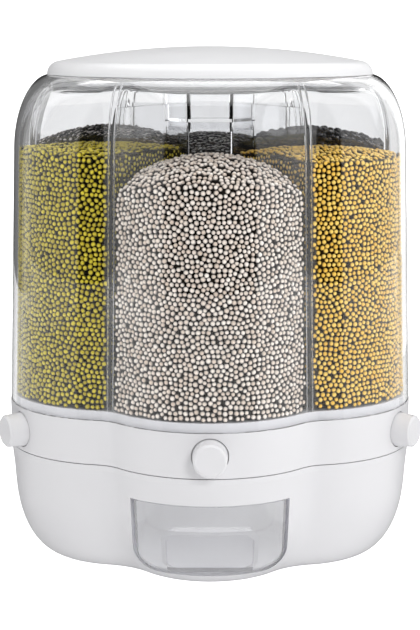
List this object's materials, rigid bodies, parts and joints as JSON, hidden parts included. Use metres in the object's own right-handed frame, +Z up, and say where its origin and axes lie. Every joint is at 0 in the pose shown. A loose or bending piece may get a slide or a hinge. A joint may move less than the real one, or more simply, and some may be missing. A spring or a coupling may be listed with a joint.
{
  "type": "rotating grain dispenser",
  "caption": "Six-lobed countertop grain dispenser: a clear six-compartment carousel turns on a white base, push buttons open gates over a pull-out cup, and a domed lid lifts off.",
  "frame": {"origin": "middle of the underside, on the plane of the feet", "axes": "+Z up, the cup and one button face -Y"},
  "size_m": [0.2526, 0.282, 0.3085],
  "materials": {
    "white_plastic": "satin gloss white",
    "white_inner_plastic": "matt white",
    "clear_plastic": "clear, polished",
    "smoke_clear_plastic": "smoky clear, polished",
    "slide_plastic": "slippery natural plastic",
    "foot_rubber": "grey rubber",
    "seal_rubber": "translucent grey silicone",
    "steel": "zinc plated",
    "spring_steel": "bright drawn wire",
    "pale_grain": "matt round seeds",
    "yellow_grain": "matt round seeds",
    "green_grain": "slightly shiny small beans",
    "black_beans": "shiny beans",
    "white_rice": "matt grains",
    "speckled_grain": "mixed dark seeds"
  },
  "bodies": {
    "base": {"base_bowl": "white_plastic", "base_deck": "white_inner_plastic", "drawer_bay": "white_inner_plastic", "chute": "white_inner_plastic", "slide_ring": "slide_plastic", "rubber_feet": "foot_rubber", "base_screws": "steel", "pivot_washer": "steel", "pivot_screw": "steel"},
    "carousel": {"ring_housing": "white_plastic", "under_plate": "white_inner_plastic", "carousel_screws": "steel", "floor_plate": "white_inner_plastic", "clear_shell": "clear_plastic", "divider_core": "clear_plastic", "hub_cup": "clear_plastic", "guide_front": "white_inner_plastic", "guide_front_right": "white_inner_plastic", "guide_back_right": "white_inner_plastic", "guide_back": "white_inner_plastic", "guide_back_left": "white_inner_plastic", "guide_front_left": "white_inner_plastic", "grain_front": "pale_grain", "grain_front_right": "yellow_grain", "grain_back_right": "black_beans", "grain_back": "white_rice", "grain_back_left": "speckled_grain", "grain_front_left": "green_grain", "spring_front": "spring_steel", "spring_front_right": "spring_steel", "spring_back_right": "spring_steel", "spring_back": "spring_steel", "spring_back_left": "spring_steel", "spring_front_left": "spring_steel"},
    "lid": {"lid_cover": "white_plastic", "lid_plug": "clear_plastic", "lid_gasket": "seal_rubber"},
    "cup": {"measuring_cup": "smoke_clear_plastic"},
    "press_front_unit": {"button_front": "white_plastic", "gate_front": "white_inner_plastic"},
    "press_front_right_unit": {"button_front_right": "white_plastic", "gate_front_right": "white_inner_plastic"},
    "press_back_right_unit": {"button_back_right": "white_plastic", "gate_back_right": "white_inner_plastic"},
    "press_back_unit": {"button_back": "white_plastic", "gate_back": "white_inner_plastic"},
    "press_back_left_unit": {"button_back_left": "white_plastic", "gate_back_left": "white_inner_plastic"},
    "press_front_left_unit": {"button_front_left": "white_plastic", "gate_front_left": "white_inner_plastic"}
  },
  "joints": [
    {"name": "carousel_spin", "type": "hinge", "parent": "base", "child": "carousel", "pos_m": [0, 0, 0.0699], "axis": [0, 0, 1], "continuous": true},
    {"name": "lid_lift", "type": "slide", "parent": "carousel", "child": "lid", "axis": [0, 0, 1], "range_m": [0, 0.12]},
    {"name": "cup_pull", "type": "slide", "parent": "base", "child": "cup", "axis": [0, -1, 0], "range_m": [0, 0.12]},
    {"name": "press_front", "type": "slide", "parent": "carousel", "child": "press_front_unit", "axis": [0, 1, 0], "range_m": [0, 0.0105], "stiffness_N_per_m": 300, "springref_m": -0.004, "deforming": ["spring_front"]},
    {"name": "press_front_right", "type": "slide", "parent": "carousel", "child": "press_front_right_unit", "axis": [-0.866, 0.5, 0], "range_m": [0, 0.0105], "stiffness_N_per_m": 300, "springref_m": -0.004, "deforming": ["spring_front_right"]},
    {"name": "press_back_right", "type": "slide", "parent": "carousel", "child": "press_back_right_unit", "axis": [-0.866, -0.5, 0], "range_m": [0, 0.0105], "stiffness_N_per_m": 300, "springref_m": -0.004, "deforming": ["spring_back_right"]},
    {"name": "press_back", "type": "slide", "parent": "carousel", "child": "press_back_unit", "axis": [0, -1, 0], "range_m": [0, 0.0105], "stiffness_N_per_m": 300, "springref_m": -0.004, "deforming": ["spring_back"]},
    {"name": "press_back_left", "type": "slide", "parent": "carousel", "child": "press_back_left_unit", "axis": [0.866, -0.5, 0], "range_m": [0, 0.0105], "stiffness_N_per_m": 300, "springref_m": -0.004, "deforming": ["spring_back_left"]},
    {"name": "press_front_left", "type": "slide", "parent": "carousel", "child": "press_front_left_unit", "axis": [0.866, 0.5, 0], "range_m": [0, 0.0105], "stiffness_N_per_m": 300, "springref_m": -0.004, "deforming": ["spring_front_left"]}
  ]
}
